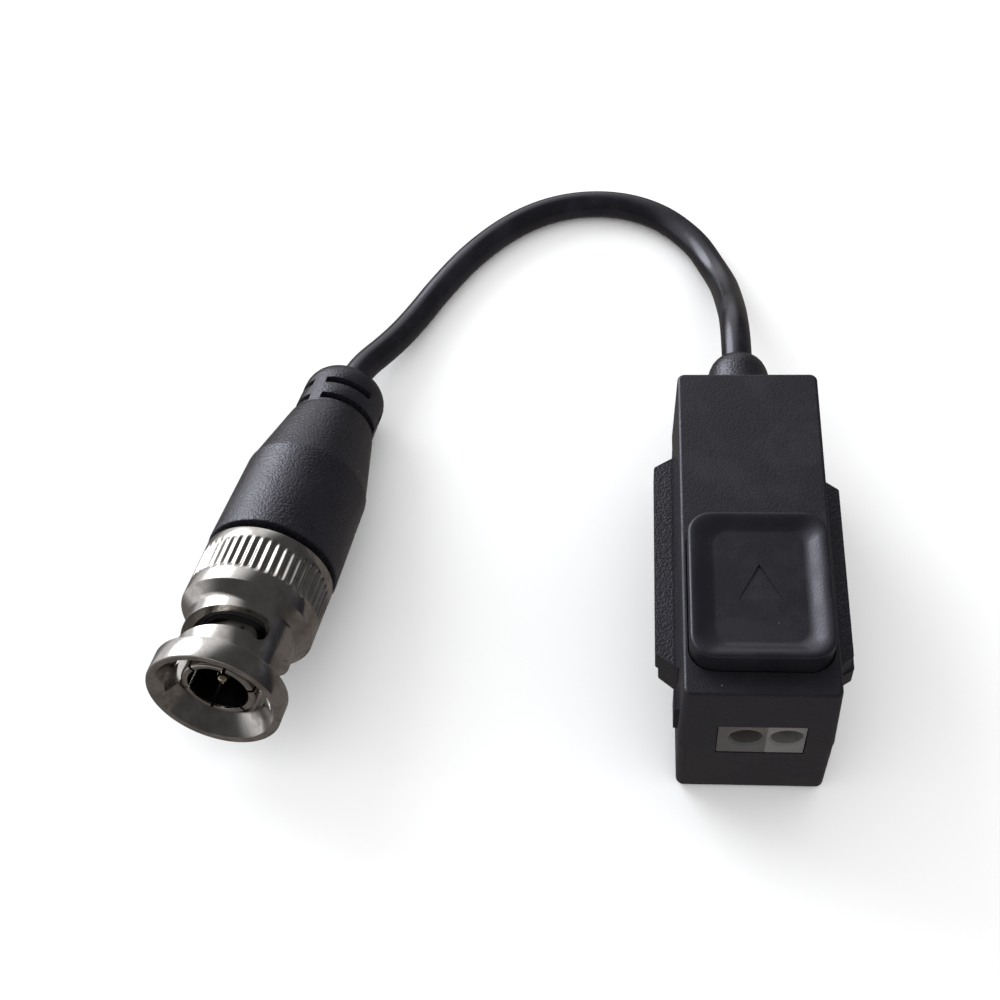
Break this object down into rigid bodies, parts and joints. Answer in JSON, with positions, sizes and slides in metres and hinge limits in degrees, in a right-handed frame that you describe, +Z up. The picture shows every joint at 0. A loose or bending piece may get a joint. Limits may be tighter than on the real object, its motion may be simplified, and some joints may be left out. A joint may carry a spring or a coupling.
{
  "type": "cctv video balun",
  "caption": "Small black video balun with a dished release pad, twin wire ports, side rails and a short lead to a bayonet video plug.",
  "frame": {"origin": "on the resting surface under the middle of the housing (the lead and the plug left aside)", "axes": "+Y along the housing from the wire ports to the lead, +Z up, +X to the right seen from the ports"},
  "size_m": [0.0717, 0.0853, 0.0232],
  "materials": {
    "housing": "matte",
    "pad": "satin",
    "block_dark": "satin",
    "block_light": "satin",
    "spring_steel": "satin",
    "tinned_copper": "satin",
    "board": "satin",
    "ferrite": "matte",
    "enamelled_wire": "gloss",
    "chip_body": "matte",
    "lead_insulation": "satin",
    "moulded_rubber": "matte",
    "cable_jacket": "satin",
    "nickel": "polished",
    "insulator": "matte",
    "gold": "polished",
    "gasket": "matte"
  },
  "bodies": {
    "housing": {"lower_shell": "housing", "upper_shell": "housing", "terminal_block_left": "block_dark", "terminal_block_right": "block_light", "clamp_spring_left": "spring_steel", "clamp_spring_right": "spring_steel", "contact_bar_left": "tinned_copper", "contact_bar_right": "tinned_copper", "circuit_board": "board", "toroid_core": "ferrite", "toroid_winding": "enamelled_wire", "surge_suppressor": "chip_body", "chip_capacitor": "chip_body", "chip_resistor": "chip_body", "core_lead": "lead_insulation", "braid_lead": "lead_insulation", "cable_gland": "moulded_rubber", "pigtail_cable": "cable_jacket", "plug_boot": "moulded_rubber", "crimp_ferrule": "nickel", "plug_body": "nickel", "outer_contact": "nickel", "plug_insulator": "insulator", "center_pin": "gold", "front_gasket": "gasket", "wave_washer": "spring_steel", "retaining_ring": "spring_steel"},
    "pad": {"release_pad": "pad"},
    "washer": {"thrust_washer": "nickel"},
    "nut": {"coupling_nut": "nickel"}
  },
  "joints": [
    {"name": "pad_press", "type": "slide", "parent": "housing", "child": "pad", "axis": [0, 0, -1], "range_m": [0, 0.0015], "stiffness_N_per_m": 4000, "springref_m": -0.0005, "deforming": ["clamp_spring_left", "clamp_spring_right"]},
    {"name": "nut_float", "type": "slide", "parent": "housing", "child": "washer", "axis": [-0.1717, -0.9737, 0.15], "range_m": [0, 0.0006], "stiffness_N_per_m": 15000, "springref_m": -0.0002, "deforming": ["wave_washer"]},
    {"name": "nut_turn", "type": "hinge", "parent": "washer", "child": "nut", "pos_m": [-0.05317, -0.00744, 0.01034], "axis": [0.1717, 0.9737, -0.15], "continuous": true}
  ]
}
